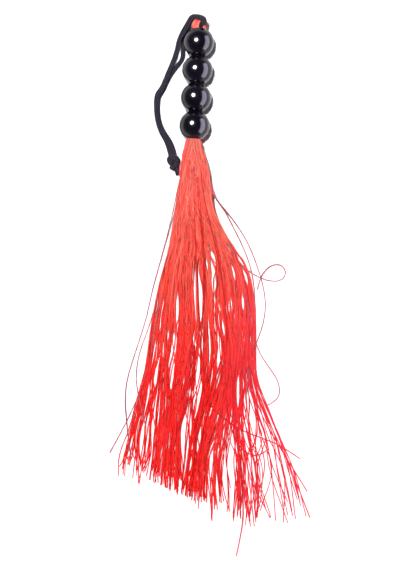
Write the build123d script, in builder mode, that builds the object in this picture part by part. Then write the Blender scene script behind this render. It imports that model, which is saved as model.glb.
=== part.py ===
"""Bead-gripped strand tassel with a wrist loop, lying at rest on a flat surface.

Four ball beads are threaded on a thick bundle of thin rubber strands. The bundle is
doubled over above the top bead, where the wrist cord passes through the fold, and its
loose ends fan out below the last bead as the tassel.

Frame, in millimetres: +Z up from the surface, +Y along the grip towards the fold,
+X to the right. The origin is on the surface, under the middle of the grip and tassel.
Places in lists below are measured from the middle of the grip, with Z from the surface.
"""

import os
from math import pi, radians, sin, sqrt, tan

from build123d import *

# Grip: ball beads on the doubled strand bundle
BEAD_COUNT = 4
BEAD_DIAMETER = 24.0
BEAD_LENGTH = 21.5
BEAD_GAP = 0.25
BORE_DIAMETER = 10.0
BORE_CLEARANCE = 0.05
BORE_CHAMFER = 0.25
GRIP_HEIGHT = BEAD_DIAMETER / 2
GRIP_MIDDLE = Vector(-26.7, 140.6, 0.0)
BEAD_PITCH = BEAD_LENGTH + BEAD_GAP
GRIP_END = (BEAD_COUNT - 1) / 2 * BEAD_PITCH + BEAD_LENGTH / 2
BUNDLE_DIAMETER = BORE_DIAMETER - 2 * BORE_CLEARANCE

# Fold of the strands above the top bead, and the eye in it for the wrist cord
FOLD_REACH = 9.1
FOLD_THICKNESS = 7.5
FOLD_ROUNDING = 2.6
FOLD_SQUARE_END = 0.5
EYE_WIDTH = 2.4
EYE_LENGTH = 4.8
EYE_X = 1.4
EYE_START = 0.5
EYE_ROUNDING = 0.5

# Ball of strands below the last bead, about which the tassel swings sideways
KNUCKLE_RADIUS = 5.4
KNUCKLE_GAP = 0.3
KNUCKLE_Y = -GRIP_END - KNUCKLE_RADIUS - KNUCKLE_GAP
NECK_START = 4.0
NECK_TOP_DIAMETER = 12.4
NECK_SIDE_MARGIN = 0.6
NECK_TOP_MARGIN = 0.9

# Tassel: locks of strands, in six columns of four where they leave the neck
COLUMNS = 6
ROWS = 4
COLUMN_PITCH = 3.1
ROW_PITCH = 2.2
LOCK_DIAMETER = 2.0
LIFT_Y = -66.0
LIFT_X = 2.0
LIFT_RADIUS = 4.6
NECK_LIFT_GAP = 0.5
FLOOR_GAP = 0.1
TIP_LEFT_Y = -293.0
TIP_RIGHT_Y = -331.0
TIP_BULGE = 7.0
# Share of the way down, left edge, right edge, share of the neck height kept, and how
# far the four locks of a column have spread sideways from one another there
TASSEL_STATIONS = [
    (0.06, -9.0, 14.0, 0.97, 0.25),
    (0.14, -12.0, 23.5, 0.86, 0.62),
    (0.26, -18.0, 40.0, 0.36, 0.90),
    (0.42, -25.5, 53.0, 0.0, 1.0),
    (0.61, -32.0, 58.5, 0.0, 1.0),
    (0.81, -40.5, 71.0, 0.0, 1.0),
    (1.00, -53.5, 107.0, 0.0, 1.0),
]
WAVE = 0.9
WAVE_TURN_PER_STATION = 2.3
WAVE_TURN_PER_LOCK = 0.35
WAVY_FROM = 3

# Single strands that stray from the tassel, with their routes
STRAND_DIAMETER = 0.6
STRAY_ROUTES = {
    "stray_strand_curl": [
        (12.2, -68.0, 10.5), (15.8, -84.0, 9.0), (25.5, -104.0, 5.0),
        (40.5, -125.0, 1.2), (49.0, -138.5, 0.4), (57.5, -147.5, 0.4),
        (67.0, -151.6, 0.4), (75.5, -150.3, 0.4), (78.6, -143.8, 0.4),
        (74.4, -137.6, 0.4), (66.5, -138.4, 1.0), (61.0, -143.5, 1.8),
        (57.5, -151.0, 1.8), (56.3, -158.5, 0.6),
    ],
    "stray_strand_loop": [
        (12.2, -67.5, 13.5), (16.4, -84.0, 12.5), (26.0, -103.5, 9.0),
        (41.5, -129.0, 3.4), (51.5, -155.0, 0.5), (58.5, -180.0, 0.4),
        (62.0, -205.0, 0.4), (68.6, -218.6, 0.4), (75.6, -228.0, 0.4),
        (78.6, -237.5, 0.4), (76.3, -245.5, 0.4), (69.0, -249.6, 0.4),
    ],
    "stray_strand_left": [
        (-8.2, -68.0, 11.0), (-11.4, -88.0, 9.0), (-15.0, -110.0, 5.0),
        (-20.5, -136.0, 1.0), (-26.6, -163.0, 0.4), (-30.0, -185.0, 0.4),
        (-35.5, -206.0, 0.4), (-40.0, -222.0, 0.4), (-43.4, -237.0, 0.8),
        (-43.8, -251.0, 3.0), (-42.0, -265.0, 3.1), (-39.5, -281.0, 3.1),
        (-36.7, -297.0, 3.1),
    ],
    "stray_strand_bottom": [
        (7.2, -71.5, 17.3), (9.1, -84.0, 16.9), (14.6, -104.0, 15.4),
        (24.5, -137.0, 8.8), (33.0, -180.0, 3.1), (39.5, -225.0, 3.0),
        (45.0, -268.0, 3.0), (52.0, -310.0, 3.0), (54.6, -339.0, 3.0),
        (53.0, -355.0, 0.5), (50.7, -370.0, 0.4),
    ],
}

# Wrist cord: a flat soft braid through the fold's eye, its two ends tied in one knot
CORD_WIDTH = 4.6
CORD_THICKNESS = 1.7
CORD_CORNER_SHARE = 0.4
CORD_AT_EYE_WIDTH = 4.2
BIGHT_Y = GRIP_END + EYE_START + EYE_LENGTH / 2
BIGHT_ROUTE = [
    (-10.2, 11.6), (-6.6, 17.3), (EYE_X, 17.3), (EYE_X, 6.4), (-5.4, 4.6),
]
BIGHT_RADII = [2.6, 1.9, 1.9]
LEG_A_ROUTE = [
    (-11.6, 41.4, 9.6), (-15.4, 34.0, 7.0), (-16.4, 25.0, 4.2), (-19.3, 17.5, 3.1),
    (-22.9, 11.0, 3.0), (-24.2, 4.0, 3.0), (-27.2, -4.0, 3.0), (-30.8, -10.5, 3.0),
    (-30.7, -21.5, 3.0), (-28.8, -31.5, 3.0), (-24.8, -40.5, 3.0),
    (-20.4, -48.5, 3.0), (-17.6, -55.5, 3.0),
]
LEG_B_ROUTE = [
    (-7.4, 41.4, 2.5), (-10.2, 33.5, 1.1), (-11.6, 24.0, 1.0), (-14.6, 14.5, 1.0),
    (-19.0, 8.0, 1.0), (-22.2, 0.5, 1.0), (-25.8, -6.5, 1.0), (-29.6, -13.0, 1.0),
    (-29.8, -23.0, 1.0), (-27.4, -32.0, 1.0), (-22.4, -40.5, 1.0),
    (-17.0, -47.8, 1.0), (-13.8, -55.5, 1.0),
]
TAIL_ROUTES = {
    "wrist_cord_tail_long": [
        (-12.9, -63.6, 1.1), (-11.6, -67.5, 1.0), (-10.5, -71.5, 1.0),
    ],
    "wrist_cord_tail_short": [
        (-15.3, -64.0, 3.1), (-15.6, -67.0, 3.0), (-17.0, -69.0, 3.0),
    ],
}
KNOT_CENTRE = (-14.9, -60.2, 2.75)
KNOT_SIZE = (9.6, 10.8, 5.3)
KNOT_ROUNDING = 2.3
KNOT_TURN = 24.0

# A route's arcs take this share of the shorter run beside them
ARC_SHARE = 0.45


def place(x, y, z):
    """The point at x and y from the middle of the grip and z above the surface."""
    return GRIP_MIDDLE + Vector(x, y, z)


def arc_radii(name, points):
    """The largest radius that each corner of a route has room for."""
    radii = []
    for before, corner, after in zip(points, points[1:], points[2:]):
        arriving = corner - before
        leaving = after - corner
        half_turn = radians(arriving.get_angle(leaving)) / 2
        room = ARC_SHARE * min(arriving.length, leaving.length)
        radii.append(room / tan(half_turn))
    print(name, "radii", [round(radius, 1) for radius in radii])
    return radii


def report_size(part, length, section):
    """Prints a part's length, and its volume as a share of its section times that length."""
    share = part.volume / (section * length)
    print(part.label, "length", round(length, 1), "volume share", round(share, 3))


def soft_tube(name, points, diameter):
    """A round tube along a route of straight runs joined by tangent arcs."""
    with BuildPart() as tube:
        with BuildLine() as route:
            FilletPolyline(*points, radius=arc_radii(name, points))
        with BuildSketch(Plane(origin=points[0], z_dir=route.line % 0)):
            Circle(diameter / 2)
        sweep(path=route.line)
    tube.part.label = name
    report_size(tube.part, route.wire().length, pi * diameter**2 / 4)
    return tube.part


def flat_cord(name, points):
    """A flat braid along a route, its width kept level."""
    with BuildPart() as cord:
        with BuildLine() as route:
            FilletPolyline(*points, radius=arc_radii(name, points))
        heading = route.line % 0
        across = Vector(0, 0, 1).cross(heading)
        with BuildSketch(Plane(origin=points[0], x_dir=across, z_dir=heading)):
            RectangleRounded(CORD_WIDTH, CORD_THICKNESS, CORD_THICKNESS * CORD_CORNER_SHARE)
        sweep(path=route.line)
    cord.part.label = name
    report_size(cord.part, route.wire().length, CORD_WIDTH * CORD_THICKNESS)
    return cord.part


def finish(part):
    """Writes one node."""
    export_step(part, f"parts/{part.label}.step")


def lock_route(column, row):
    """The route of one lock from the neck down and out to its tip on the surface."""
    number = column * ROWS + row
    share = number / (COLUMNS * ROWS - 1)
    start_x = LIFT_X + (column - (COLUMNS - 1) / 2) * COLUMN_PITCH
    level = (row - (ROWS - 1) / 2) * ROW_PITCH
    corner = abs(level) + LOCK_DIAMETER / 2
    points = [place(start_x, LIFT_Y + sqrt(LIFT_RADIUS**2 - corner**2), GRIP_HEIGHT + level)]
    tip_y = TIP_LEFT_Y + (TIP_RIGHT_Y - TIP_LEFT_Y) * sin(radians(90 * share))
    tip_y -= TIP_BULGE * sin(radians(180 * share))
    low = LOCK_DIAMETER / 2 + FLOOR_GAP
    for index, (down, left, right, height, spread) in enumerate(TASSEL_STATIONS):
        slot = (column + 0.5 + spread * (row - (ROWS - 1) / 2) / ROWS) / COLUMNS
        wavy = WAVY_FROM <= index < len(TASSEL_STATIONS) - 1
        turn = WAVE_TURN_PER_STATION * index + WAVE_TURN_PER_LOCK * number
        wave = WAVE * sin(turn) if wavy else 0.0
        x = left + (right - left) * slot + wave
        y = LIFT_Y + down * (tip_y - LIFT_Y)
        points.append(place(x, y, low + (GRIP_HEIGHT + level - low) * height))
    return points


os.makedirs("parts", exist_ok=True)

# Beads: balls with flat ends and a bore, turned about the bundle's line
half_length = BEAD_LENGTH / 2
flat_radius = sqrt((BEAD_DIAMETER / 2) ** 2 - half_length**2)
for number in range(1, BEAD_COUNT + 1):
    bead_y = ((BEAD_COUNT + 1) / 2 - number) * BEAD_PITCH
    bead_plane = Plane(origin=place(0, bead_y, GRIP_HEIGHT))
    bore_radius = BORE_DIAMETER / 2
    with BuildPart() as bead:
        with BuildSketch(bead_plane):
            with BuildLine():
                ThreePointArc(
                    (flat_radius, -half_length), (BEAD_DIAMETER / 2, 0), (flat_radius, half_length)
                )
                Polyline(
                    (flat_radius, half_length),
                    (bore_radius + BORE_CHAMFER, half_length),
                    (bore_radius, half_length - BORE_CHAMFER),
                    (bore_radius, BORE_CHAMFER - half_length),
                    (bore_radius + BORE_CHAMFER, -half_length),
                    (flat_radius, -half_length),
                )
            make_face()
        revolve(axis=Axis(bead_plane.origin, (0, 1, 0)))
    bead.part.label = f"bead_{number}"
    finish(bead.part)

# Bundle of doubled strands through the beads, ending in the ball it swells to below them
top_plane = Plane(origin=place(0, GRIP_END + BORE_CLEARANCE, GRIP_HEIGHT), z_dir=(0, -1, 0))
with BuildPart() as strand_core:
    with BuildSketch(top_plane):
        Circle(BUNDLE_DIAMETER / 2)
    extrude(amount=GRIP_END - KNUCKLE_Y)
    with Locations(place(0, KNUCKLE_Y, GRIP_HEIGHT)):
        Sphere(KNUCKLE_RADIUS)
strand_core.part.label = "strand_core"
finish(strand_core.part)

# Fold: the same strands turned back over the wrist cord, with the eye it passes through
fold_width = BUNDLE_DIAMETER
fold_base = GRIP_END + BORE_CLEARANCE
fold_plane = Plane(origin=place(0, fold_base, GRIP_HEIGHT - FOLD_THICKNESS / 2))
with BuildPart() as strand_fold:
    with BuildSketch(fold_plane):
        with Locations((0, (FOLD_REACH - fold_width / 2) / 2)):
            Rectangle(fold_width, FOLD_REACH - fold_width / 2)
        with Locations((0, FOLD_REACH - fold_width / 2)):
            Circle(fold_width / 2)
        with Locations((0, -fold_width)):
            Rectangle(2 * fold_width, 2 * fold_width, mode=Mode.SUBTRACT)
    extrude(amount=FOLD_THICKNESS)
    square_until = GRIP_MIDDLE.Y + fold_base + FOLD_SQUARE_END
    level_edges = strand_fold.edges().group_by(Axis.Z)
    outer_edges = level_edges[0] + level_edges[-1]
    fillet(outer_edges.filter_by(lambda edge: edge.center().Y > square_until), FOLD_ROUNDING)
    with BuildSketch(fold_plane):
        with Locations((EYE_X, EYE_START + EYE_LENGTH / 2)):
            RectangleRounded(EYE_WIDTH, EYE_LENGTH, EYE_ROUNDING)
    extrude(amount=FOLD_THICKNESS, mode=Mode.SUBTRACT)
strand_fold.part.label = "strand_fold"
finish(strand_fold.part)

# Neck: the strands just below the ball, flattening from round to the row of columns
neck_end = LIFT_Y + LIFT_RADIUS + NECK_LIFT_GAP
neck_width = (COLUMNS - 1) * COLUMN_PITCH + LOCK_DIAMETER
neck_height = (ROWS - 1) * ROW_PITCH + LOCK_DIAMETER
neck_top_origin = place(0, KNUCKLE_Y - NECK_START, GRIP_HEIGHT)
neck_top = Plane(origin=neck_top_origin, x_dir=(1, 0, 0), z_dir=(0, -1, 0))
neck_bottom_origin = place(LIFT_X, neck_end, GRIP_HEIGHT)
neck_bottom = Plane(origin=neck_bottom_origin, x_dir=(1, 0, 0), z_dir=(0, -1, 0))
with BuildPart() as strand_neck:
    with BuildSketch(neck_top):
        Circle(NECK_TOP_DIAMETER / 2)
    with BuildSketch(neck_bottom):
        Ellipse(neck_width / 2 + NECK_SIDE_MARGIN, neck_height / 2 + NECK_TOP_MARGIN)
    loft()
    with Locations(place(0, KNUCKLE_Y, GRIP_HEIGHT)):
        Sphere(KNUCKLE_RADIUS + KNUCKLE_GAP, mode=Mode.SUBTRACT)
strand_neck.part.label = "strand_neck"
finish(strand_neck.part)

# Locks of the tassel, numbered from left to right
for column in range(COLUMNS):
    for row in range(ROWS):
        lock_name = f"strand_lock_{column * ROWS + row + 1:02d}"
        finish(soft_tube(lock_name, lock_route(column, row), LOCK_DIAMETER))

# Stray strands
for stray_name, stray_route in STRAY_ROUTES.items():
    stray_points = [place(*point) for point in stray_route]
    finish(soft_tube(stray_name, stray_points, STRAND_DIAMETER))

# Bight of the wrist cord: over the left side of the fold, down its eye and back under
bight_plane = Plane(origin=place(0, BIGHT_Y, 0), x_dir=(1, 0, 0), z_dir=(0, -1, 0))
with BuildPart() as wrist_cord_bight:
    with BuildSketch(bight_plane):
        with BuildLine() as bight_line:
            FilletPolyline(*BIGHT_ROUTE, radius=BIGHT_RADII)
        trace(line_width=CORD_THICKNESS)
    extrude(amount=CORD_AT_EYE_WIDTH / 2, both=True)
wrist_cord_bight.part.label = "wrist_cord_bight"
finish(wrist_cord_bight.part)

# The two legs of the wrist cord, one lying on the other beside the grip, and the tails
wrist_cord_leg_a = flat_cord("wrist_cord_leg_a", [place(*point) for point in LEG_A_ROUTE])
finish(wrist_cord_leg_a)
wrist_cord_leg_b = flat_cord("wrist_cord_leg_b", [place(*point) for point in LEG_B_ROUTE])
finish(wrist_cord_leg_b)
tails = [
    flat_cord(name, [place(*point) for point in route]) for name, route in TAIL_ROUTES.items()
]
for tail in tails:
    finish(tail)

# Knot that joins both ends, shaped round the cords that enter it
with BuildPart() as wrist_cord_knot:
    with Locations(Location(place(*KNOT_CENTRE), (0, 0, KNOT_TURN))):
        Box(*KNOT_SIZE)
    fillet(wrist_cord_knot.edges(), KNOT_ROUNDING)
    for entering in (wrist_cord_leg_a, wrist_cord_leg_b, *tails):
        add(entering, mode=Mode.SUBTRACT)
wrist_cord_knot.part.label = "wrist_cord_knot"
finish(wrist_cord_knot.part)
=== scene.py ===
"""Looks of the bead-gripped strand tassel: strands, beads, woven wrist cord and its knot.

Places are in millimetres from the middle of the grip, with z up from the surface, as in
the CAD model's own lists, and place() turns them into the row frame in metres.
"""

import math

import bpy
import numpy as np
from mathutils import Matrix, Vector


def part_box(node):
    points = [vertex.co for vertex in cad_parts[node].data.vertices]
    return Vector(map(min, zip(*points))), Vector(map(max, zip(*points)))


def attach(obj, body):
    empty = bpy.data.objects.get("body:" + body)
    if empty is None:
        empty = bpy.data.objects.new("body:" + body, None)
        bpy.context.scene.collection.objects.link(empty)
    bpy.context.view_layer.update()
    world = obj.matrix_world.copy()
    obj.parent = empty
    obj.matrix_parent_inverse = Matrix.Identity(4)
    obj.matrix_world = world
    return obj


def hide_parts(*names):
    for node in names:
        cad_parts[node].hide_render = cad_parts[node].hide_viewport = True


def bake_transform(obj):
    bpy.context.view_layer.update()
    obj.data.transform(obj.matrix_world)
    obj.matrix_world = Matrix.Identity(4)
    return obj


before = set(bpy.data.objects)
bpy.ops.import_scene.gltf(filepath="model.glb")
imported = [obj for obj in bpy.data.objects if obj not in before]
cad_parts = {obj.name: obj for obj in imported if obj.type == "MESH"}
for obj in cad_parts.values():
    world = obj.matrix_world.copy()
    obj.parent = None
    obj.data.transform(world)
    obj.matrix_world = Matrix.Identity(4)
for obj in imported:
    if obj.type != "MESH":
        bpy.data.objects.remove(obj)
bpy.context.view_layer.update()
MM = 0.001
TINY = 1e-9
rng = np.random.default_rng(7)

top_bead = [Vector(corner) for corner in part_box("bead_1")]
last_bead = [Vector(corner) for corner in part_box("bead_4")]
GRIP_MIDDLE = (top_bead[0] + top_bead[1] + last_bead[0] + last_bead[1]) / 4
GRIP_MIDDLE.z = top_bead[0].z
# Number of beads, height of their bores, and how far the grip's ends are from its middle
BEADS = 4
GRIP_HEIGHT = 12.0
GRIP_END = 43.4


def place(x, y, z):
    """A point of the row frame, from millimetres about the middle of the grip."""
    return GRIP_MIDDLE + Vector((x, y, z)) * MM


# ------------------------------------------------------------------ camera
# Distance and height of the view in metres, roll in degrees, sensor in millimetres
VIEW_CENTRE = (13.6, -157.1, GRIP_HEIGHT)
VIEW_DISTANCE = 1.25
VIEW_HEIGHT = 0.4469
VIEW_ROLL = 2.975
SENSOR = 24.0
camera_data = bpy.data.cameras.new("camera")
camera_data.sensor_fit = "VERTICAL"
camera_data.sensor_height = SENSOR
camera_data.lens = SENSOR * VIEW_DISTANCE / VIEW_HEIGHT
camera_data.clip_end = 20.0
camera = bpy.data.objects.new("camera", camera_data)
bpy.context.collection.objects.link(camera)
camera.location = place(*VIEW_CENTRE) + Vector((0, 0, VIEW_DISTANCE))
camera.rotation_euler = (0, 0, math.radians(VIEW_ROLL))
bpy.context.scene.camera = camera


# --------------------------------------------------------------- materials
def fill_ramp(node, stops):
    """Give a colour ramp these stops, each a place between 0 and 1 and a colour."""
    elements = node.color_ramp.elements
    elements[0].position, elements[0].color = stops[0]
    elements[1].position, elements[1].color = stops[-1]
    for position, colour in stops[1:-1]:
        elements.new(position).color = colour


class Nodes:
    """A node material under construction, with short names for what it needs."""

    def __init__(self, name):
        self.material = bpy.data.materials.new(name)
        self.material.use_nodes = True
        self.tree = self.material.node_tree
        self.shader = self.tree.nodes["Principled BSDF"]

    def set(self, **values):
        for socket, value in values.items():
            self.shader.inputs[socket.replace("_", " ")].default_value = value

    def add(self, kind, **settings):
        node = self.tree.nodes.new(kind)
        for name, value in settings.items():
            if name in node.inputs:
                node.inputs[name].default_value = value
            else:
                setattr(node, name, value)
        return node

    def link(self, source, target):
        self.tree.links.new(source, target)

    def noise(self, coordinates, scale, detail=2.0):
        node = self.add("ShaderNodeTexNoise", Scale=scale, Detail=detail)
        self.link(coordinates, node.inputs["Vector"])
        return node.outputs["Fac"]

    def ramp(self, source, stops):
        node = self.add("ShaderNodeValToRGB")
        fill_ramp(node, stops)
        self.link(source, node.inputs["Fac"])
        return node.outputs["Color"]

    def span(self, source, low, high, to_low=0.0, to_high=1.0):
        node = self.add("ShaderNodeMapRange")
        limits = {"From Min": low, "From Max": high, "To Min": to_low, "To Max": to_high}
        for socket, value in limits.items():
            node.inputs[socket].default_value = value
        self.link(source, node.inputs["Value"])
        return node.outputs["Result"]

    def mix(self, factor, first, second, kind="MIX"):
        node = self.add("ShaderNodeMix", data_type="RGBA", blend_type=kind)
        for socket, value in ((0, factor), (6, first), (7, second)):
            if isinstance(value, bpy.types.NodeSocket):
                self.link(value, node.inputs[socket])
            else:
                node.inputs[socket].default_value = value
        return node.outputs[2]

    def bump(self, height, distance, strength=1.0):
        node = self.add("ShaderNodeBump", Strength=strength, Distance=distance)
        self.link(height, node.inputs["Height"])
        self.link(node.outputs["Normal"], self.shader.inputs["Normal"])

    def object_place(self):
        return self.add("ShaderNodeTexCoord").outputs["Object"]


# Levels the strands' colours run between: along the tassel, a painted light and shade from pale
# coral at the top to deeper red lower down, and towards its right side
COLOUR_TOP_Y, COLOUR_BOTTOM_Y = -60, -230
COLOUR_RIGHT_FROM, COLOUR_RIGHT_TO = 25, 80
RIGHT_RED = (0.80, 0.03, 0.05, 1)
LONE_STRAND_RED = (0.33, 0.11, 0.14, 1)
# Painted light and shade: paler coral near the top, where the light falls strongest, and deeper red
# towards the tips, where the strands lie dense in each other's shade
PAINTED_LIGHT_REDS = [
    (0.0, (0.97, 0.115, 0.078, 1)),
    (0.45, (0.97, 0.100, 0.066, 1)),
    (0.75, (0.96, 0.040, 0.026, 1)),
    (1.0, (0.95, 0.014, 0.011, 1)),
]
SHADE_TINTS = [
    (0.0, (0.58, 0.20, 0.24, 1)),
    (0.25, (0.90, 0.66, 0.72, 1)),
    (0.7, (1.0, 1.1, 1.05, 1)),
    (1.0, (1.0, 1.9, 2.0, 1)),
]
BLOTCH_TINTS = [(0.3, (0.82, 0.78, 0.8, 1)), (0.7, (1.0, 1.05, 1.05, 1))]


def strand_material(name, depth, placed=False):
    """Soft coloured rubber with painted light and shade, paler coral at the top and deeper red
    towards the tips, with a tone of its own for each strand.

    The depth is how far the colour goes to that of a lone strand. A placed look reads
    the places that its pieces carry, so that the colours stay on strands that bend.
    """
    nodes = Nodes(name)
    nodes.set(
        IOR=1.4, Subsurface_Weight=0.45, Subsurface_Scale=0.0012, Specular_IOR_Level=0.1,
        Subsurface_Radius=(1.0, 0.12, 0.08),
    )
    where = nodes.object_place()
    if placed:
        where = nodes.add("ShaderNodeAttribute", attribute_name="rest_place").outputs["Vector"]
    split = nodes.add("ShaderNodeSeparateXYZ")
    nodes.link(where, split.inputs[0])
    down = nodes.span(
        split.outputs["Y"], place(0, COLOUR_TOP_Y, 0).y, place(0, COLOUR_BOTTOM_Y, 0).y
    )
    right = nodes.span(
        split.outputs["X"], place(COLOUR_RIGHT_FROM, 0, 0).x, place(COLOUR_RIGHT_TO, 0, 0).x
    )
    own = nodes.add("ShaderNodeAttribute", attribute_name="shade").outputs["Fac"]
    blotches = nodes.ramp(nodes.noise(where, scale=140.0, detail=3.0), BLOTCH_TINTS)
    # The painted light and shade along the tassel, times each strand's own tint
    tinted = nodes.mix(
        1.0, nodes.ramp(down, PAINTED_LIGHT_REDS), nodes.ramp(own, SHADE_TINTS), "MULTIPLY"
    )
    mottled = nodes.mix(1.0, tinted, blotches, "MULTIPLY")
    colour = nodes.mix(right, mottled, RIGHT_RED)
    if depth:
        lone = nodes.span(down, 0.0, 1.0, to_low=0.9 * depth, to_high=depth)
        colour = nodes.mix(lone, colour, LONE_STRAND_RED)
    nodes.link(colour, nodes.shader.inputs["Base Color"])
    nodes.link(nodes.span(own, 0, 1, to_low=0.32, to_high=0.5), nodes.shader.inputs["Roughness"])
    nodes.bump(nodes.noise(where, scale=1500.0), distance=0.00006, strength=0.5)
    return nodes.material


def bead_material():
    """Deep black gloss with a violet cast and faint handling marks."""
    nodes = Nodes("black_gloss_bead")
    nodes.set(IOR=1.38)
    where = nodes.object_place()
    colour = nodes.ramp(nodes.noise(where, scale=60.0, detail=3.0), [
        (0.35, (0.0020, 0.0012, 0.0032, 1)), (0.65, (0.0045, 0.0030, 0.0070, 1)),
    ])
    nodes.link(colour, nodes.shader.inputs["Base Color"])
    marks = nodes.noise(where, scale=900.0, detail=6.0)
    roughness = nodes.span(marks, 0.35, 0.75, to_low=0.12, to_high=0.19)
    nodes.link(roughness, nodes.shader.inputs["Roughness"])
    nodes.bump(nodes.noise(where, scale=160.0, detail=4.0), distance=0.00003, strength=0.25)
    return nodes.material


# The braid's yarns and ribs: their pitch in millimetres and their share of its relief
YARN_PITCH, YARN_RELIEF = 1.9, 1.1
RIB_PITCH, RIB_RELIEF = 1.95, 0.3
FUZZ_RELIEF = 0.4
# How much lighter the braid is where its relief stands out, a painted shade in the hollows of the
# weave, and where its fuzz stands out
RELIEF_PAINTED_SHADE, FUZZ_LIGHT = 0.55, 0.3


def braid_material():
    """Dark soft braid: slanted yarns in two directions over a few lengthwise ribs, with painted
    shade in the hollows between them.
    """
    nodes = Nodes("charcoal_braid")
    nodes.set(
        Sheen_Weight=0.05, Sheen_Roughness=0.4, Sheen_Tint=(0.75, 0.68, 0.9, 1), IOR=1.35,
        Specular_IOR_Level=0.15,
    )
    layout = nodes.add("ShaderNodeUVMap", uv_map="braid")
    split = nodes.add("ShaderNodeSeparateXYZ")
    nodes.link(layout.outputs["UV"], split.inputs[0])
    across, along = split.outputs["X"], split.outputs["Y"]

    def maths(operation, *values):
        node = nodes.add("ShaderNodeMath", operation=operation)
        for socket, value in enumerate(values):
            if isinstance(value, bpy.types.NodeSocket):
                nodes.link(value, node.inputs[socket])
            else:
                node.inputs[socket].default_value = value
        return node.outputs[0]

    def waves(distance, pitch):
        return maths("ABSOLUTE", maths("SINE", maths("MULTIPLY", distance, math.pi / pitch)))

    def yarns(slant):
        return waves(maths("ADD", maths("MULTIPLY", across, slant), along), YARN_PITCH)

    weave = maths("MULTIPLY", yarns(1.0), yarns(-1.0))
    relief = maths(
        "ADD", maths("MULTIPLY", weave, YARN_RELIEF),
        maths("MULTIPLY", waves(across, RIB_PITCH), RIB_RELIEF),
    )
    fuzz = nodes.noise(nodes.object_place(), scale=2500.0, detail=3.0)
    # Painted shade: the colour is darker down in the hollows of the yarns and ribs and lighter on
    # their crests; the fuzz adds a tone that differs at random
    light = maths(
        "ADD", maths("MULTIPLY", relief, RELIEF_PAINTED_SHADE), maths("MULTIPLY", fuzz, FUZZ_LIGHT)
    )
    colour = nodes.ramp(light, [
        (0.2, (0.001, 0.0008, 0.002, 1)),
        (0.45, (0.0035, 0.0026, 0.006, 1)),
        (0.85, (0.065, 0.055, 0.088, 1)),
    ])
    nodes.link(colour, nodes.shader.inputs["Base Color"])
    roughness = nodes.span(fuzz, 0.3, 0.7, to_low=0.7, to_high=0.95)
    nodes.link(roughness, nodes.shader.inputs["Roughness"])
    rough_relief = maths("ADD", relief, maths("MULTIPLY", fuzz, FUZZ_RELIEF))
    nodes.bump(rough_relief, distance=0.0004, strength=0.9)
    return nodes.material


strand_look = strand_material("red_rubber_strand", 0.0, placed=True)
apart_look = strand_material("red_rubber_strand_apart", 0.0)
loose_look = strand_material("red_rubber_loose_strand", 0.85)
bead_look = bead_material()
braid_look = braid_material()


# ------------------------------------------------------------ mesh helpers
QUAD_CORNERS = 4


def mesh_object(name, vertices, faces, material, uvs=None):
    """A smooth mesh piece from points in the row frame, with sharp edges round its end caps."""
    mesh = bpy.data.meshes.new(name)
    mesh.from_pydata(vertices, [], faces)
    if uvs is not None:
        layer = mesh.uv_layers.new(name="braid")
        indices = np.empty(len(mesh.loops), dtype=np.int32)
        mesh.loops.foreach_get("vertex_index", indices)
        layer.data.foreach_set("uv", np.asarray(uvs, float)[indices].ravel())
    mesh.materials.append(material)
    mesh.polygons.foreach_set("use_smooth", [True] * len(mesh.polygons))
    for polygon in mesh.polygons:
        if polygon.loop_total > QUAD_CORNERS:
            for loop in polygon.loop_indices:
                mesh.edges[mesh.loops[loop].edge_index].use_edge_sharp = True
    mesh.update()
    piece = bpy.data.objects.new(name, mesh)
    bpy.context.collection.objects.link(piece)
    return piece


def spline_points(name, route, resolution):
    """The curve object of a route's smooth NURBS line, and its points in the row frame."""
    curve = bpy.data.curves.new(name, "CURVE")
    curve.dimensions = "3D"
    curve.resolution_u = resolution
    spline = curve.splines.new("NURBS")
    spline.points.add(len(route) - 1)
    for point, corner in zip(spline.points, route):
        point.co = (*place(*corner), 1.0)
    spline.order_u = 3
    spline.use_endpoint_u = True
    holder = bpy.data.objects.new(name, curve)
    bpy.context.collection.objects.link(holder)
    bpy.context.view_layer.update()
    line = bpy.data.meshes.new_from_object(holder)
    return holder, np.array([vertex.co for vertex in line.vertices], float)


# ------------------------------------------------------- strands of rubber
STRAND_DIAMETER = 0.74
STRAND_SIDES = 6
DISC_STEPS = 201
# Where the strands' meshes are cut across, and the room kept clear of points beside it
SPLIT_Y = -58.0
CUT_MARGIN = 0.4
# Edges in x between the sections, for a strand's place where the sections hinge
SECTIONS = 6
SECTION_EDGES = (-5.7, -1.7, 2.3, 6.3, 10.3)
LIFT_Y = -66.0
LOCKS_PER_SECTION = 4

# Edges of the tassel above its streams: y, left, right, middle height, half thickness
UPPER_OUTLINE = [
    (-38.0, -1.8, 1.8, 12.0, 1.8),
    (-42.6, -4.7, 4.7, 12.0, 4.7),
    (-44.6, -6.2, 6.2, 12.0, 5.6),
    (-49.0, -7.2, 7.2, 12.0, 5.6),
    (-58.0, -8.4, 10.4, 12.0, 5.0),
    (-66.0, -8.8, 12.8, 12.0, 4.4),
    (-82.0, -10.2, 16.2, 11.8, 3.8),
    (-99.0, -11.8, 19.6, 10.6, 3.0),
    (-113.0, -12.8, 27.0, 8.4, 2.3),
    (-126.0, -14.2, 35.6, 5.8, 1.9),
]

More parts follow.
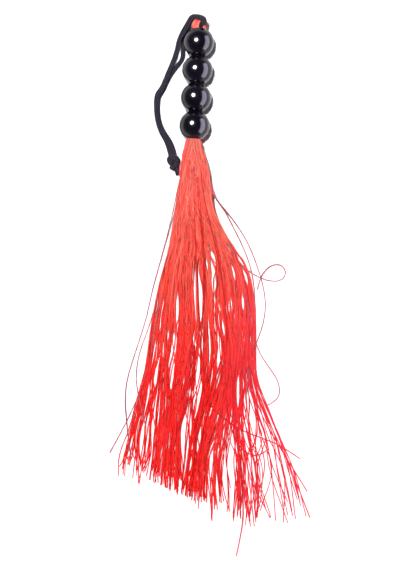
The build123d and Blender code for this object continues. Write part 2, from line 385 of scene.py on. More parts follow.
# Streams that the strands part into: name, strands, and centre x, y, half width down it
STREAMS = [
    ("left_edge", 10, [
        (-17, -141, 1.2), (-21.5, -164, 1.4), (-25, -187, 1.6), (-26, -206, 2), (-27, -224, 2.8),
        (-31, -246, 3.4), (-35.5, -273, 4.7), (-40.5, -296, 5.5), (-42.5, -304, 6.3),
    ]),
    ("left_outer", 20, [
        (-13.5, -140, 2.8), (-17, -163, 3.8), (-20, -186, 4.2), (-21, -206, 4.2), (-23, -230, 4.2),
        (-25.5, -249, 4.5), (-27, -273, 5.5), (-28, -293, 6), (-28.5, -306, 7),
    ]),
    ("left_block", 28, [
        (-9, -140, 3), (-10.5, -162, 4.2), (-12, -186, 4.8), (-12.5, -206, 5.2), (-13, -227, 5.2),
        (-12.5, -249, 5.2), (-12, -272, 5.2), (-13, -296, 5.2), (-14, -309, 5.6),
    ]),
    ("left_inner", 22, [
        (-3.5, -140, 3), (-3.5, -162, 3.2), (-2.5, -185, 3), (-2, -205, 3.6), (-3.5, -226, 5),
        (-5, -248, 5), (-6.5, -272, 5), (-6.5, -296, 5.4), (-5, -313, 5.6),
    ]),
    ("centre_left", 30, [
        (2, -140, 3.8), (3, -162, 4.4), (4, -185, 4.2), (5, -205, 3.6), (3.5, -226, 4),
        (1.5, -248, 4.4), (-1, -272, 4.8), (-1.5, -295, 5.2), (0, -316, 6),
    ]),
    ("slit_wisp", 10, [
        (7, -139, 1.8), (8.5, -161, 1.6), (10, -181, 1.4), (12.0, -200, 2.0), (13.5, -217, 3.6),
        (13.5, -235, 5.0), (12.5, -251, 5.4), (11, -271, 5.0), (9.5, -296, 4.6), (7, -318, 4.2),
    ]),
    ("centre", 16, [
        (10.5, -139, 2.9), (14, -161, 3.1), (16, -181, 2.6), (17.5, -200, 2.4), (18.5, -217, 2.4),
        (19, -235, 2.4), (16.5, -255, 3.1), (13, -275, 3.9), (11, -298, 4.7), (12, -320, 6.3),
    ]),
    ("centre_right", 16, [
        (16, -139, 2.8), (19.5, -161, 3.8), (22.5, -184, 3.6), (24.5, -204, 3.2), (25, -225, 3.4),
        (23.5, -247, 3.9), (20, -267, 4.2), (17.5, -286, 4.7), (17, -308, 5.5), (18, -322, 6.3),
    ]),
    ("crossing_lock", 34, [
        (24.5, -138, 3.4), (27.5, -160, 4.8), (31, -184, 5.2), (35, -203, 4.8), (35.5, -224, 4.2),
        (31, -246, 4.8), (26.5, -266, 5), (22, -286, 5.2), (19.5, -306, 6.2), (19, -321, 7.2),
    ]),
    ("middle_lock", 26, [
        (30.5, -138, 3), (34.5, -160, 4.4), (38.5, -183, 5.2), (40, -203, 5.2), (39.5, -224, 4.2),
        (38, -246, 4.6), (35, -266, 5.2), (32.5, -286, 6), (33, -305, 6.8), (34, -327, 7.1),
    ]),
    ("straight_lock", 24, [
        (35.5, -138, 2.8), (41, -160, 3.8), (44, -183, 4.2), (44.5, -203, 4), (43.5, -224, 3.5),
        (43.5, -246, 3.9), (46, -265, 7), (48.5, -285, 9), (51, -308, 11), (53, -338, 13),
    ]),
    ("right_lock", 20, [
        (40, -138, 2.4), (46.5, -159, 3.4), (50, -183, 3.8), (51, -202, 3.8), (51, -223, 3.6),
        (54, -241, 5.5), (58.5, -261, 9.5), (63, -280, 13), (67, -303, 16), (71, -334, 18),
    ]),
    ("right_edge", 12, [
        (43.5, -137, 1.6), (51, -159, 1.8), (55, -182, 1.8), (55.5, -202, 2), (56, -220, 2.4),
        (60, -237, 3), (68, -256, 5), (76.5, -275, 7), (86, -298, 9), (93.5, -328, 10.5),
    ]),
]
STREAM_LEVELS = (-140.0, -162.0, -185.0, -206.0, -227.0, -250.0, -273.0, -297.0)
STEP = 3.9
TIP_SPREAD = 8.0

# Strands that leave their stream for the next one: their share, where, and over what length
STRAY_SHARE = 0.3
LEAVING_Y = (-240, -160)
MOVE_LENGTH = 60.0

# Strands to a clump, and how far they and their clump stray, in half widths of the stream
CLUMP_SIZE = 7
CLUMP_WIDTH = 0.2
CLUMP_WAVE = 0.14
WANDER = 0.22
WANDER_KEPT, WANDER_BACK = 0.7, 0.3
FARTHEST_WANDER = 1.3

# Strands that change places between the neck and the streams, in shares of the width
NECK_MIX = 0.035
CROSSING_SHARE = 0.42
CROSSING_MIX = 0.24
NECK_SHARES = (0.02, 0.98)
# Sideways drift above the streams in millimetres, and the outline's first level with any
UPPER_DRIFT = 2.4
FIRST_DRIFT_LEVEL = 4

# Layers from the underside, -1, to the top, 1; crossing strands lie just over the top
LAYERS = 6
LAYER_STRIDE = 5
LAYER_CROWDING = 1.8
CROSSING_LAYER = 1.1

# Heights of the strands where they hang above the surface and where they lie on it
LOWEST = 0.36
PILE_PACKING = 1.25
PILE_MARGIN = 1.0
HIGHEST_PILE = 3.4
SETTLING_Y = -126.0
SETTLED_Y = -165.0
SETTLING_HEIGHT = 5.8
SETTLING_HALF_THICKNESS = 1.7

# White gaps between the strands: x, y of the top, x, y of the bottom, widest half width
PARTINGS = [
    (17.1, -120.0, 21.8, -147.0, 1.7), (13.8, -128.0, 15.3, -149.0, 0.7),
    (3.6, -134.0, 5.3, -163.0, 0.6), (30.4, -120.0, 36.4, -137.0, 1.3),
    (39.6, -130.5, 44.8, -144.5, 1.3), (33.4, -137.0, 40.2, -155.0, 1.1),
    (44.3, -142.0, 48.7, -156.0, 1.0), (19.2, -146.5, 25.6, -162.0, 1.1),
    (-6.9, -154.0, -5.4, -196.0, 1.2), (28.6, -181.0, 32.8, -198.0, 1.0),
    (44.0, -162.5, 46.6, -180.0, 0.9), (11.6, -150.0, 13.8, -188.0, 1.0),
    (11.8, -205.0, 13.5, -250.0, 1.5), (45.6, -220.0, 44.3, -259.0, 1.1),
    (54.5, -238.0, 62.0, -287.0, 2.3), (15.5, -265.0, 16.8, -294.0, 1.4),
    (25.8, -280.0, 27.0, -310.0, 1.2), (35.0, -290.0, 42.0, -336.0, 1.7),
    (-21.6, -221.0, -20.6, -246.0, 0.9), (-30.0, -266.0, -28.6, -297.0, 1.3),
]
# How far from the middle of a gap strands still give way to it
PARTING_REACH = 5.0


def part_strand(x, y):
    """Push a strand sideways to its own side of every parting it runs past."""
    for top_x, top_y, bottom_x, bottom_y, widest in PARTINGS:
        share = (top_y - y) / (top_y - bottom_y)
        off = x - (top_x + (bottom_x - top_x) * share)
        own = 1.0 if np.interp(0.5, share, off) > 0 else -1.0
        open_here = widest * np.sin(math.pi * np.clip(share, 0, 1))
        pushed = own * open_here + off * (1 - open_here / PARTING_REACH)
        near = (np.abs(off) < PARTING_REACH) & (share > 0) & (share < 1)
        x = np.where(near, x + pushed - off, x)
    return x


def smooth_line(knots, values, at):
    """Values of a smooth curve through the knots, taken at the places asked for."""
    knots, values = np.asarray(knots, float), np.asarray(values, float)
    slopes = np.gradient(values, knots)
    index = np.clip(np.searchsorted(knots, at) - 1, 0, len(knots) - 2)
    width = knots[index + 1] - knots[index]
    t = np.clip((at - knots[index]) / width, 0, 1)
    first, second = values[index], values[index + 1]
    rise = second - first
    start, end = slopes[index] * width, slopes[index + 1] * width
    return first + t * (start + t * ((3 * rise - 2 * start - end) + t * (start + end - 2 * rise)))


def disc_side(share):
    """How far sideways in a unit disc a line lies that has this share of it on its left."""
    side = np.linspace(-1, 1, DISC_STEPS)
    filled = 0.5 + (side * np.sqrt(1 - side**2) + np.arcsin(side)) / math.pi
    return np.interp(share, filled, side)


def clump_count(count):
    """How many clumps a stream of this many strands has."""
    return max(1, round(count / CLUMP_SIZE))


def top_x(strand):
    """How far across a strand lies at the top of its stream."""
    _, _, stations = STREAMS[strand["stream"]]
    x, _, half_width = stations[0]
    return x + strand["across"] * half_width


def strand_ends():
    """All the strands, each with its place across its stream, its clump and its layer."""
    strands = []
    for stream, (_, count, _) in enumerate(STREAMS):
        clumps = clump_count(count)
        centres = (np.arange(clumps) + 0.5) / clumps * 2 - 1
        for number in range(count):
            clump = number * clumps // count
            across = centres[clump] * (1 - CLUMP_WIDTH) + rng.normal(0, CLUMP_WIDTH)
            other = stream
            if rng.uniform() < STRAY_SHARE:
                other = int(np.clip(stream + rng.choice((-1, 1)), 0, len(STREAMS) - 1))
            strands.append({
                "stream": stream, "other": other, "leaves": rng.uniform(*LEAVING_Y),
                "across": float(np.clip(across, -1, 1)), "clump": clump,
            })
    order = np.argsort([top_x(strand) for strand in strands])
    for rank, index in enumerate(order):
        share = (rank + 0.5) / len(strands)
        strands[index]["share"] = share
        crosses = rng.uniform() < CROSSING_SHARE
        mixed = share + rng.normal(0, CROSSING_MIX if crosses else NECK_MIX)
        strands[index]["neck_share"] = float(np.clip(mixed, *NECK_SHARES))
        depth = ((rank * LAYER_STRIDE) % LAYERS + rng.uniform(0, 1)) / LAYERS
        lies = 1 - 2 * depth ** LAYER_CROWDING
        strands[index]["layer"] = CROSSING_LAYER if crosses else lies
    return strands


def stream_at(stream, y):
    """Where a stream's middle is at y, and its half width there."""
    stations = STREAMS[stream][2]
    down = [-station[1] for station in stations]
    x = np.interp(-y, down, [station[0] for station in stations])
    half_width = np.interp(-y, down, [station[2] for station in stations])
    return float(x), float(half_width)


def strand_path(strand, clump_waves):
    """Points of one strand from inside the last bead to its tip, in millimetres."""
    side = disc_side(strand["neck_share"])
    room = math.sqrt(max(0.0, 1 - side**2))
    ys, xs, zs = [], [], []
    for index, (y, left, right, height, half_thickness) in enumerate(UPPER_OUTLINE):
        flat = min(1.0, index / (len(UPPER_OUTLINE) - 2))
        share = strand["neck_share"] + (strand["share"] - strand["neck_share"]) * flat
        fraction = (1 - flat) * (side + 1) / 2 + flat * share
        drift = rng.normal(0, UPPER_DRIFT) if index >= FIRST_DRIFT_LEVEL else 0.0
        drift *= 4 * fraction * (1 - fraction)  # none at the tassel's edges
        level = strand["layer"] * (room * (1 - flat) + flat)
        ys.append(y)
        xs.append(left + (right - left) * fraction + drift)
        zs.append(height + level * half_thickness)
    wander = strand["across"]
    _, count, stations = STREAMS[strand["stream"]]
    tip = stations[-1][1] + rng.uniform(-TIP_SPREAD, TIP_SPREAD)
    for index, y in enumerate((*STREAM_LEVELS, tip)):
        x, half_width = stream_at(strand["stream"], y)
        other_x, other_half_width = stream_at(strand["other"], y)
        moved = float(np.clip((strand["leaves"] - y) / MOVE_LENGTH, 0, 1))
        x += (other_x - x) * moved
        half_width += (other_half_width - half_width) * moved
        wander = WANDER_KEPT * wander + WANDER_BACK * strand["across"]
        wander += rng.normal(0, WANDER) * (index > 0)
        offset = float(np.clip(wander, -FARTHEST_WANDER, FARTHEST_WANDER))
        offset += clump_waves[strand["clump"]][index]
        layers = count * STRAND_DIAMETER / (2 * half_width + PILE_MARGIN)
        pile = min(HIGHEST_PILE, STRAND_DIAMETER * layers * PILE_PACKING)
        lying = LOWEST + (strand["layer"] + 1) / 2 * pile
        settled = float(np.clip((y - SETTLING_Y) / (SETTLED_Y - SETTLING_Y), 0, 1))
        hanging = SETTLING_HEIGHT + strand["layer"] * SETTLING_HALF_THICKNESS
        ys.append(y)
        xs.append(x + offset * half_width)
        zs.append(lying * settled + hanging * (1 - settled))
    at = np.append(np.arange(UPPER_OUTLINE[0][0], tip + STEP / 2, -STEP), tip)
    knots = -np.array(ys)
    x = part_strand(smooth_line(knots, xs, -at), at)
    z = smooth_line(knots, zs, -at)
    return np.column_stack((x, at, np.maximum(z, LOWEST)))


def tube_rings(points, forward, radius):
    """Rings of a round tube about a line of points, and the faces that close it."""
    across = np.cross(forward, (0.0, 0.0, 1.0))
    across /= np.maximum(np.linalg.norm(across, axis=1), TINY)[:, None]
    lift = np.cross(across, forward)
    angles = np.arange(STRAND_SIDES) * 2 * math.pi / STRAND_SIDES
    rings = (
        points[:, None, :]
        + radius * np.cos(angles)[None, :, None] * across[:, None, :]
        + radius * np.sin(angles)[None, :, None] * lift[:, None, :]
    )
    count = len(points)
    corner = np.arange(STRAND_SIDES)[None, :]
    ring = np.arange(count - 1)[:, None] * STRAND_SIDES
    first, turned = ring + corner, ring + (corner + 1) % STRAND_SIDES
    quads = np.stack((first, turned, turned + STRAND_SIDES, first + STRAND_SIDES), axis=-1)
    faces = [tuple(quad) for quad in quads.reshape(-1, 4).tolist()]
    faces.append(tuple(range(STRAND_SIDES - 1, -1, -1)))
    last = (count - 1) * STRAND_SIDES
    faces.append(tuple(range(last, last + STRAND_SIDES)))
    return rings.reshape(-1, 3), faces


def headings(points):
    """The direction of a line at each of its points."""
    forward = np.gradient(points, axis=0)
    return forward / np.linalg.norm(forward, axis=1)[:, None]


def strands_object(name, stretches, diameter=STRAND_DIAMETER):
    """Many strands as one mesh piece that carries each one's shade and its points' places."""
    vertices, faces, shades = [], [], []
    offset = 0
    for points, forward, shade in stretches:
        ring_points, ring_faces = tube_rings(points, forward, diameter / 2)
        vertices.append(ring_points * MM + np.array(GRIP_MIDDLE))
        faces.extend([tuple(index + offset for index in face) for face in ring_faces])
        shades.extend([shade] * len(ring_points))
        offset += len(ring_points)
    piece = mesh_object(name, np.concatenate(vertices).tolist(), faces, strand_look)
    attribute = piece.data.attributes.new("shade", "FLOAT", "POINT")
    attribute.data.foreach_set("value", shades)
    rest_place = piece.data.attributes.new("rest_place", "FLOAT_VECTOR", "POINT")
    rest_place.data.foreach_set("vector", np.concatenate(vertices).ravel())
    return piece


def split_path(path):
    """A strand's stretch above the neck's split and the one below it, sharing the cut."""
    cut = np.array([
        np.interp(-SPLIT_Y, -path[:, 1], path[:, 0]), SPLIT_Y,
        np.interp(-SPLIT_Y, -path[:, 1], path[:, 2]),
    ])
    above = path[path[:, 1] > SPLIT_Y + CUT_MARGIN]
    below = path[path[:, 1] < SPLIT_Y - CUT_MARGIN]
    top_end = np.array([[above[0, 0], GRIP_END, above[0, 2]]])
    whole = np.concatenate((top_end, above, [cut], below))
    forward = headings(whole)
    at_cut = len(above) + 1
    return (whole[:at_cut + 1], forward[:at_cut + 1]), (whole[at_cut:], forward[at_cut:])


strands = strand_ends()
waves = []
levels = len(STREAM_LEVELS) + 1
for _, count, _ in STREAMS:
    bends = rng.normal(0, CLUMP_WAVE, (clump_count(count), levels))
    waves.append(bends * (np.arange(levels) > 0))
grip_paths = []
section_paths = [[] for _ in range(SECTIONS)]
for strand in strands:
    path = strand_path(strand, waves[strand["stream"]])
    above, below = split_path(path)
    shade = rng.uniform()
    grip_paths.append((*above, shade))
    lift_x = np.interp(-LIFT_Y, -path[:, 1], path[:, 0])
    section_paths[int(np.searchsorted(SECTION_EDGES, lift_x))].append((*below, shade))

grip_strands = strands_object("grip_strands", grip_paths)
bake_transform(grip_strands)
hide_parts("strand_core", "strand_neck")
for section, paths in enumerate(section_paths, start=1):
    piece = strands_object(f"tassel_strands_{section}", paths)
    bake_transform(piece)
    last_lock = section * LOCKS_PER_SECTION
    numbers = range(last_lock - LOCKS_PER_SECTION + 1, last_lock + 1)
    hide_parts(*(f"strand_lock_{number:02d}" for number in numbers))


# Fold: strands that leave the top bead, go round the eye and turn back into it
FOLD_LAYERS = 9
FOLD_RINGS = 7
FOLD_LAYER_PITCH = 0.72
FOLD_LAYER_REACH = 5.4
FOLD_DIAMETER = 0.76
FOLD_POINTS = 31
FOLD_RING_JITTER = 0.15
FOLD_HEIGHT_JITTER = 0.08
fold_paths = []
for layer in range(FOLD_LAYERS):
    rise = layer - (FOLD_LAYERS - 1) / 2
    reach = math.sqrt(1 - (rise / FOLD_LAYER_REACH) ** 2)
    for ring in range(FOLD_RINGS):
        shift = rng.uniform(-FOLD_RING_JITTER, FOLD_RING_JITTER)
        out = (ring + shift) / (FOLD_RINGS - 1) * reach
        points = [
            (-0.6 - 3.6 * out, GRIP_END - 3.0), (-0.7 - 3.9 * out, GRIP_END - 0.6),
            (-0.9 - 5.0 * out, GRIP_END + 1.9), (-0.6 - 5.2 * out, GRIP_END + 3.4),
            (0.2 - 3.8 * out, GRIP_END + 5.6 + 1.4 * out),
            (1.6 - 0.6 * out, GRIP_END + 6.6 + 1.9 * out),
            (3.2 + 0.9 * out, GRIP_END + 5.8 + 1.3 * out), (3.7 + 1.5 * out, GRIP_END + 3.4),
            (3.2 + 1.7 * out, GRIP_END + 1.2), (2.6 + 1.7 * out, GRIP_END - 0.6),
            (2.3 + 1.7 * out, GRIP_END - 3.0),
        ]
        height = GRIP_HEIGHT + rise * FOLD_LAYER_PITCH
        corners = np.array([
            (x, y, height + rng.normal(0, FOLD_HEIGHT_JITTER)) for x, y in points
        ])
        steps = np.linspace(0, len(corners) - 1, FOLD_POINTS)
        line = np.column_stack([
            smooth_line(np.arange(len(corners)), corners[:, axis], steps) for axis in range(3)
        ])
        fold_paths.append((line, headings(line), rng.uniform()))
fold_strands = strands_object("fold_strands", fold_paths, FOLD_DIAMETER)
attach(fold_strands, "grip_core")
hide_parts("strand_fold")


# ----------------------------------------------------------- loose strands
# Name, section it hangs from, CAD node it stands for, and its route
LOOSE_STRANDS = [
    ("curl_strand", 6, "stray_strand_curl", [
        (11.2, -68.0, 10.5), (13.8, -84.0, 9.5), (21.0, -105.0, 7.0), (33.0, -127.0, 3.8),
        (43.0, -140.5, 2.4), (55.5, -148.5, 0.5), (67.0, -151.6, 0.4), (75.5, -150.3, 0.4),
        (78.6, -143.8, 0.4), (74.4, -137.6, 0.4), (66.5, -138.4, 1.0), (61.0, -143.5, 1.8),
        (57.5, -151.0, 1.8), (56.3, -158.5, 0.6),
    ]),
    ("loop_strand", 6, "stray_strand_loop", [
        (11.2, -67.5, 13.5), (14.4, -84.0, 12.5), (21.0, -104.5, 9.6), (35.0, -131.0, 4.6),
        (46.0, -157.0, 2.4), (52.5, -182.0, 2.0), (58.5, -205.5, 0.5), (68.0, -218.6, 0.4),
        (75.6, -228.0, 0.4), (78.6, -237.5, 0.4), (76.3, -245.5, 0.4), (69.0, -249.6, 0.4),
    ]),
    ("left_loose_strand", 1, "stray_strand_left", [
        (-8.2, -68.0, 11.0), (-11.4, -88.0, 9.0), (-15.0, -110.0, 5.0), (-20.5, -136.0, 1.0),
        (-26.6, -163.0, 0.4), (-30.0, -185.0, 0.4), (-35.5, -206.0, 0.4), (-40.0, -222.0, 0.4),
        (-43.4, -237.0, 0.8), (-43.8, -251.0, 3.0), (-42.0, -265.0, 3.1), (-39.5, -281.0, 3.1),
        (-36.7, -297.0, 3.1),
    ]),
    ("bottom_strand", 5, "stray_strand_bottom", [
        (7.2, -71.5, 17.3), (9.1, -84.0, 16.9), (14.6, -104.0, 15.4), (24.5, -137.0, 8.8),
        (33.0, -180.0, 3.1), (39.5, -225.0, 3.0), (45.0, -268.0, 3.0), (52.0, -310.0, 3.0),
        (54.6, -339.0, 3.0), (53.0, -355.0, 0.5), (50.7, -370.0, 0.4),
    ]),
    ("outer_right_strand", 6, None, [
        (13.5, -74.0, 14.5), (18.5, -88.0, 13.5), (28.0, -97.5, 9.5), (38.0, -109.0, 5.0),
        (47.0, -122.0, 1.6), (54.5, -138.0, 0.4), (60.5, -154.0, 0.4), (63.8, -170.0, 0.4),
        (62.5, -186.0, 0.4), (57.0, -203.0, 0.5), (53.0, -222.0, 2.2), (51.5, -245.0, 2.2),
    ]),
    ("inner_right_strand", 6, None, [
        (12.0, -74.0, 15.0), (17.0, -86.0, 14.0), (26.0, -96.0, 10.0), (35.0, -111.0, 5.5),
        (42.5, -124.0, 2.8), (49.0, -138.0, 1.0), (53.0, -152.0, 0.4), (55.0, -168.0, 0.4),
        (56.5, -185.0, 1.6), (55.5, -205.0, 2.2),
    ]),
    ("second_left_strand", 1, None, [
        (-8.4, -72.0, 9.0), (-11.5, -95.0, 6.5), (-14.0, -122.0, 2.6), (-18.5, -148.0, 0.6),
        (-22.8, -172.0, 0.4), (-28.0, -193.0, 0.4), (-34.0, -212.0, 0.4), (-36.2, -227.0, 0.4),
        (-35.0, -241.0, 0.8), (-31.0, -255.0, 2.4), (-26.0, -272.0, 2.4),
    ]),
    ("left_tip_strand", 1, None, [
        (-8.8, -73.0, 12.0), (-11.8, -100.0, 9.0), (-14.5, -130.0, 4.2), (-19.0, -160.0, 2.0),
        (-22.5, -190.0, 2.0), (-26.0, -218.0, 1.6), (-30.5, -240.0, 0.6), (-37.0, -257.0, 0.4),
        (-44.0, -274.0, 0.4), (-53.6, -293.5, 0.4),
    ]),
    ("fan_strand_a", 4, None, [
        (5.0, -73.0, 16.5), (8.0, -95.0, 15.0), (12.5, -130.0, 9.5), (14.0, -170.0, 4.2),
        (13.5, -205.0, 3.4), (15.5, -235.0, 3.2), (24.0, -252.5, 3.2), (36.0, -262.5, 3.1),
        (50.0, -270.5, 2.6), (66.0, -275.5, 1.6), (82.0, -281.0, 0.8), (97.0, -290.5, 0.4),
    ]),
    ("fan_strand_b", 5, None, [
        (10.0, -75.0, 16.0), (14.5, -98.0, 14.0), (24.0, -130.0, 7.0), (31.0, -165.0, 3.6),
        (34.0, -200.0, 3.4), (34.5, -235.0, 3.2), (39.0, -264.0, 3.1), (47.0, -282.0, 2.8),
        (57.0, -289.5, 1.8), (66.0, -289.5, 1.0), (72.0, -283.5, 0.5),
    ]),
    ("fan_strand_c", 6, None, [
        (13.0, -76.0, 12.0), (18.5, -100.0, 9.5), (34.0, -127.0, 5.0), (46.0, -155.0, 2.6),
        (51.0, -190.0, 2.2), (53.0, -222.0, 2.2), (60.0, -248.0, 2.2), (72.0, -270.0, 1.8),
        (86.0, -290.0, 0.8), (104.0, -316.0, 0.4),
    ]),
    ("fan_strand_d", 6, None, [
        (12.5, -77.0, 10.0), (18.0, -102.0, 7.5), (33.0, -130.0, 3.4), (45.0, -158.0, 2.0),
        (50.5, -190.0, 1.8), (53.5, -220.0, 1.8), (62.0, -246.0, 1.8), (76.0, -272.0, 1.2),
        (91.0, -300.0, 0.5), (107.2, -336.6, 0.4),
    ]),
    ("slit_strand_a", 3, None, [
        (1.5, -74.0, 16.5), (3.5, -100.0, 14.0), (6.5, -135.0, 7.5), (9.5, -165.0, 3.2),
        (12.5, -190.0, 1.4), (9.5, -215.0, 1.2), (7.5, -240.0, 1.6), (11.0, -262.0, 2.6),
        (17.0, -285.0, 2.8),
    ]),
    ("slit_strand_b", 4, None, [
        (4.5, -76.0, 16.0), (8.0, -105.0, 13.5), (14.0, -140.0, 7.0), (15.5, -170.0, 3.0),
        (11.5, -200.0, 1.6), (8.5, -228.0, 1.8), (4.0, -255.0, 2.6), (-2.0, -280.0, 2.8),
        (-7.0, -303.0, 2.4),
    ]),
]


LOOSE_DIAMETER = 0.9
LOOSE_RESOLUTION = 8
# Loose strands that keep the tassel's own colours, by the start of their names
APART_NAMES = ("fan", "slit", "bottom")


def loose_strand(name, section, node, route):
    """One strand that lies apart from the rest, as a declared cord."""
    look = apart_look if name.startswith(APART_NAMES) else loose_look
    piece, line = spline_points(name, route, LOOSE_RESOLUTION)
    curve = piece.data
    curve.bevel_depth = LOOSE_DIAMETER / 2 * MM
    curve.bevel_resolution = 2
    curve.use_fill_caps = True
    curve.materials.append(look)
    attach(piece, f"tassel_section_{section}")
    if node:
        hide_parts(node)


for loose in LOOSE_STRANDS:
    loose_strand(*loose)


# -------------------------------------------------------------- wrist cord
# The declared width, which the tails have too, and the width of the legs' braid
CORD_WIDTH = 4.2
BRAID_WIDTH = 3.9
CORD_THICKNESS = 1.5
CORD_RESOLUTION = 10
# Routes from the fold's eye to the knot
LEG_A_ROUTE = [
    (1.7, 45.4, 11.0), (2.6, 46.2, 14.5), (3.8, 48.4, 17.4), (2.6, 51.0, 18.4),
    (-2.0, 51.9, 18.4), (-6.4, 51.9, 17.0), (-8.8, 47.2, 14.0), (-12.4, 41.0, 10.4),
    (-15.8, 34.5, 7.0), (-17.0, 26.0, 4.2), (-19.2, 18.0, 3.3), (-22.6, 9.5, 3.0),
    (-24.8, 3.0, 3.0), (-26.9, -3.5, 3.0), (-31.0, -9.0, 3.0), (-31.2, -18.5, 3.0),
    (-29.6, -28.5, 3.0), (-26.6, -37.5, 3.0), (-21.4, -45.5, 3.0), (-18.4, -53.0, 3.2),
    (-17.0, -58.0, 3.4),
]
LEG_B_ROUTE = [
    (1.7, 45.6, 8.4), (0.9, 48.0, 5.6), (-3.6, 51.0, 4.8), (-8.2, 49.2, 4.4),
    (-10.8, 42.2, 3.2), (-12.0, 35.0, 1.6), (-12.2, 27.0, 1.1), (-11.8, 21.0, 1.0),
    (-15.4, 15.6, 1.0), (-20.4, 9.0, 1.0), (-23.6, 2.0, 1.0), (-25.8, -4.5, 1.0),
    (-29.8, -10.0, 1.0), (-30.2, -18.5, 1.0), (-28.8, -28.0, 1.0), (-25.2, -37.0, 1.0),
    (-18.4, -45.5, 1.0), (-15.0, -53.0, 1.4), (-14.0, -58.0, 2.0),
]

# The ribbon's side is level where its line is level enough, and is carried along elsewhere
SURELY_LEVEL = 0.5
LEVEL_LIMIT = 0.35
LEVEL_PULL = 0.5
# Cross-section: points round it, and how square its edges and how flat its faces are
OUTLINE_POINTS = 20
EDGE_POWER = 0.55
FACE_POWER = 0.7
# Two creases: their depth, their place and their width, in shares of the thickness and half width
CREASE_DEPTH = 0.24
CREASE_PLACE = 0.36
CREASE_WIDTH = 0.13
# Slow changes of width along the braid: amount, length in metres per radian, start
SWELLS = ((0.05, 0.011, 0.0), (0.035, 0.0043, 1.0))


def level_sides(forward):
    """The sideways direction of a ribbon along a line with these headings."""
    level = np.cross(np.array([0.0, 0.0, 1.0]), forward)
    strength = np.linalg.norm(level, axis=1)
    start = int(np.argmax(strength > SURELY_LEVEL))
    side = np.zeros_like(forward)

    def settle(index, previous):
        wanted = level[index] / max(strength[index], TINY)
        carried = previous - forward[index] * float(previous @ forward[index])
        carried /= np.linalg.norm(carried)
        wanted *= math.copysign(1.0, float(wanted @ carried))
        pull = min(1.0, max(0.0, strength[index] - LEVEL_LIMIT)) * LEVEL_PULL
        mixed = carried + (wanted - carried) * pull
        mixed -= forward[index] * float(mixed @ forward[index])
        return mixed / np.linalg.norm(mixed)

    side[start] = level[start] / strength[start]
    for index in range(start + 1, len(forward)):
        side[index] = settle(index, side[index - 1])
    for index in range(start - 1, -1, -1):
        side[index] = settle(index, side[index + 1])
    return side


def braid_profile(width, thickness):
    """The points round a flat braid with rounded edges and two creases on each face."""
    half, thick = width / 2, thickness / 2
    profile = []
    for step in range(OUTLINE_POINTS):
        angle = 2 * math.pi * step / OUTLINE_POINTS
        across = math.copysign(abs(math.cos(angle)) ** EDGE_POWER, math.cos(angle)) * half
        rise = math.copysign(abs(math.sin(angle)) ** FACE_POWER, math.sin(angle)) * thick
        from_crease = (abs(across) - half * CREASE_PLACE) / (half * CREASE_WIDTH)
        crease = 1 - CREASE_DEPTH * math.exp(-from_crease ** 2)
        profile.append((across, rise * crease))
    return profile


def ribbon_mesh(name, line, width, thickness):
    """A flat braid about a line of row-frame points."""
    line = np.asarray(line, float)
    forward = headings(line)
    side = level_sides(forward)
    up = np.cross(forward, side)
    profile = braid_profile(width, thickness)
    distance = np.concatenate(([0.0], np.cumsum(np.linalg.norm(np.diff(line, axis=0), axis=1))))
    swell = 1.0
    for amount, length, start in SWELLS:
        swell = swell + amount * np.sin(distance / length + start)
    outline = OUTLINE_POINTS
    vertices, uvs, faces = [], [], []
    around = np.cumsum([0.0] + [
        math.dist(profile[index], profile[(index + 1) % outline]) for index in range(outline)
    ])
    for index, centre in enumerate(line):
        for step, (across, rise) in enumerate(profile):
            point = centre + side[index] * across * swell[index] + up[index] * rise
            vertices.append(point.tolist())
            uvs.append((around[step] / MM, distance[index] / MM))
    for index in range(len(line) - 1):
        for step in range(outline):
            a = index * outline + step
            b = index * outline + (step + 1) % outline
            faces.append((a, b, b + outline, a + outline))
    faces.append(tuple(range(outline - 1, -1, -1)))
    last = (len(line) - 1) * outline
    faces.append(tuple(range(last, last + outline)))
    return mesh_object(name, vertices, faces, braid_look, uvs)


def cord_line(route):
    """Row-frame points of a cord's smooth line, read from its NURBS spline."""
    holder, line = spline_points("cord_guide", route, CORD_RESOLUTION)
    bpy.data.objects.remove(holder)
    return line


KNOT_MIDDLE = (-14.9, -60.2)
KNOT_TURN = 24.0
KNOT_SIZE = 0.84
KNOT_WIDTH = 3.7
KNOT_THICKNESS = 2.5
# Across the cords, along them and up, about the middle of the knot
KNOT_ROUTE = [
    (-0.6, -5.4, 3.0), (1.6, -3.4, 4.6), (3.8, -0.6, 4.4), (3.4, 2.6, 2.4), (0.4, 3.8, 1.2),
    (-3.0, 2.2, 1.2), (-4.4, -0.8, 2.6), (-3.4, -3.4, 4.6), (0.0, -3.2, 5.6), (2.8, 0.6, 5.2),
    (2.2, 3.6, 3.6), (-1.0, 4.6, 2.4), (-3.4, 2.6, 3.0), (-3.6, -0.4, 4.2), (-1.0, -1.8, 5.0),
]


def knot_point(across, along, height):
    """A point about the knot, in the grip's millimetres."""
    turn = math.radians(KNOT_TURN)
    across, along = across * KNOT_SIZE, along * KNOT_SIZE
    x = KNOT_MIDDLE[0] + across * math.cos(turn) + along * math.sin(turn)
    y = KNOT_MIDDLE[1] - along * math.cos(turn) + across * math.sin(turn)
    return x, y, height


TAIL_ROUTES = {
    "wrist_cord_tail_long": [(-13.4, -62.0, 1.2), (-11.9, -66.5, 1.0), (-10.5, -71.5, 1.0)],
    "wrist_cord_tail_short": [(-15.0, -62.5, 3.1), (-15.4, -65.2, 3.0), (-16.4, -67.4, 3.0)],
}
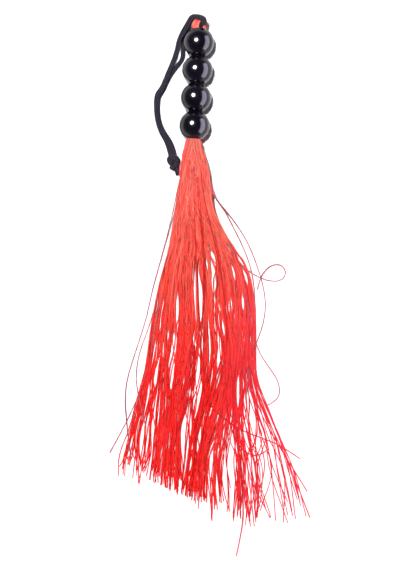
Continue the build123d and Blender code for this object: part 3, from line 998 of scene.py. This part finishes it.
# The knot: one ribbon that winds round itself, where the two cords are tied
knot_line = cord_line([knot_point(*point) for point in KNOT_ROUTE])
knot = ribbon_mesh("wrist_knot", knot_line, KNOT_WIDTH * MM, KNOT_THICKNESS * MM)
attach(knot, "wrist_loop")
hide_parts("wrist_cord_knot")
for tail_name, tail_route in TAIL_ROUTES.items():
    tail = ribbon_mesh(
        f"{tail_name}_braid", cord_line(tail_route), CORD_WIDTH * MM, CORD_THICKNESS * MM
    )
    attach(tail, "wrist_loop")
    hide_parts(tail_name)

for leg_name, leg_route, nodes_replaced in (
    ("wrist_cord_over", LEG_A_ROUTE, ("wrist_cord_leg_a", "wrist_cord_bight")),
    ("wrist_cord_under", LEG_B_ROUTE, ("wrist_cord_leg_b",)),
):
    leg_line = cord_line(leg_route)
    leg = ribbon_mesh(leg_name, leg_line, BRAID_WIDTH * MM, CORD_THICKNESS * MM)
    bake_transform(leg)
    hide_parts(*nodes_replaced)

# ------------------------------------------------------------------- beads
for number in range(1, BEADS + 1):
    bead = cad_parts[f"bead_{number}"]
    bead.data.materials.clear()
    bead.data.materials.append(bead_look)


# ------------------------------------------------------- floor and lights
def floor_material():
    """A plain pale surface that doesn't mirror the lights."""
    nodes = Nodes("white_floor")
    nodes.set(Roughness=0.5, Specular_IOR_Level=0.0)
    colour = nodes.ramp(nodes.noise(nodes.object_place(), scale=3.0), [
        (0.3, (0.93, 0.93, 0.94, 1)), (0.7, (0.95, 0.95, 0.955, 1)),
    ])
    nodes.link(colour, nodes.shader.inputs["Base Color"])
    return nodes.material


FLOOR_HALF = 4.0
floor_corners = [
    (x * FLOOR_HALF, y * FLOOR_HALF, 0) for x, y in ((-1, -1), (1, -1), (1, 1), (-1, 1))
]
floor = mesh_object("floor", floor_corners, [(0, 1, 2, 3)], floor_material())


# Name, place from the grip, size, watts, colour, shape, and the rays that don't see it
LIGHTS = [
    ("spark", (-0.42, 0.30, 1.2), (0.50, 0.50), 115.0, (1, 0.99, 1), "ELLIPSE", "visible_diffuse"),
    ("overhead", (-0.17, 0.14, 1.2), (0.12, 0.12), 25.0, (1, 0.99, 1), "ELLIPSE", "visible_glossy"),
    ("side", (0.8, -0.05, 0.30), (1.8, 0.62), 36.0, (0.84, 0.76, 1.0), "RECTANGLE",
     "visible_diffuse"),
]


def area_light(name, offset, size, strength, colour, shape, unseen_by):
    """A soft light that faces the grip, hidden from the camera and from one kind of ray."""
    data = bpy.data.lights.new(name, "AREA")
    data.shape = shape
    data.size, data.size_y = size
    data.energy = strength
    data.color = colour
    light = bpy.data.objects.new(name, data)
    bpy.context.collection.objects.link(light)
    grip = place(0, 0, GRIP_HEIGHT)
    light.location = grip + Vector(offset)
    light.rotation_euler = (grip - light.location).to_track_quat("-Z", "Y").to_euler()
    light.visible_camera = False
    setattr(light, unseen_by, False)


for light_row in LIGHTS:
    area_light(*light_row)

# Colours of the surroundings, from the horizon and below it, 0, to straight above, 1
SKY = [
    (0.0, (0.85, 0.84, 0.88, 1)),
    (0.15, (0.45, 0.44, 0.48, 1)),
    (0.4, (0.10, 0.09, 0.12, 1)),
    (1.0, (0.05, 0.045, 0.06, 1)),
]
SKY_STRENGTH = 0.85


def studio_world():
    """Pale surroundings that are darkest straight above."""
    world = bpy.data.worlds.new("studio")
    world.use_nodes = True
    tree = world.node_tree
    coordinates = tree.nodes.new("ShaderNodeTexCoord")
    split = tree.nodes.new("ShaderNodeSeparateXYZ")
    ramp = tree.nodes.new("ShaderNodeValToRGB")
    tree.links.new(coordinates.outputs["Generated"], split.inputs[0])
    tree.links.new(split.outputs["Z"], ramp.inputs["Fac"])
    fill_ramp(ramp, SKY)
    background = tree.nodes["Background"]
    tree.links.new(ramp.outputs["Color"], background.inputs["Color"])
    background.inputs["Strength"].default_value = SKY_STRENGTH
    return world


bpy.context.scene.world = studio_world()
bpy.context.scene.view_settings.view_transform = "Standard"
